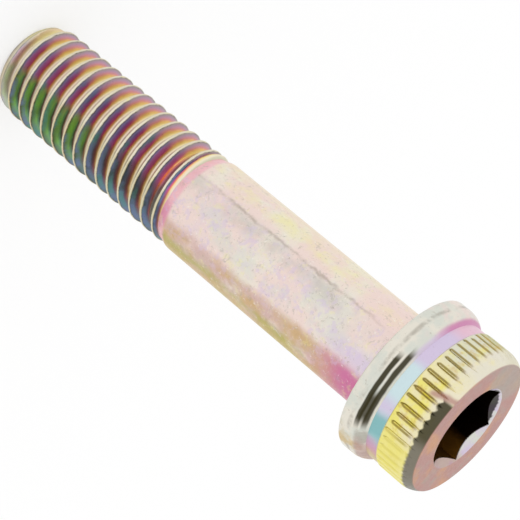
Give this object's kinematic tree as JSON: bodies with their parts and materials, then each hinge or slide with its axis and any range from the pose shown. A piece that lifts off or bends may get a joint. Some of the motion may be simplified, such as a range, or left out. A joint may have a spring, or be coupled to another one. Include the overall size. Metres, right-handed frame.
{
  "type": "shoulder bolt",
  "caption": "Headed bolt with a plain round shank, a right-hand thread at its end, a collar under its knurled head and a hexagon socket for driving.",
  "frame": {"origin": "centre of the collar's bearing face, where the shank leaves the head", "axes": "+Z along the bolt's axis towards the head; the thread end points down -Z; +X runs through a corner of the hexagon socket"},
  "size_m": [0.013, 0.013, 0.0463],
  "materials": {
    "plated_steel": "zinc plated and passivated in iridescent yellow, pink and green, worn bright on the crests and edges"
  },
  "bodies": {
    "root": {"bolt": "plated_steel"}
  },
  "joints": []
}
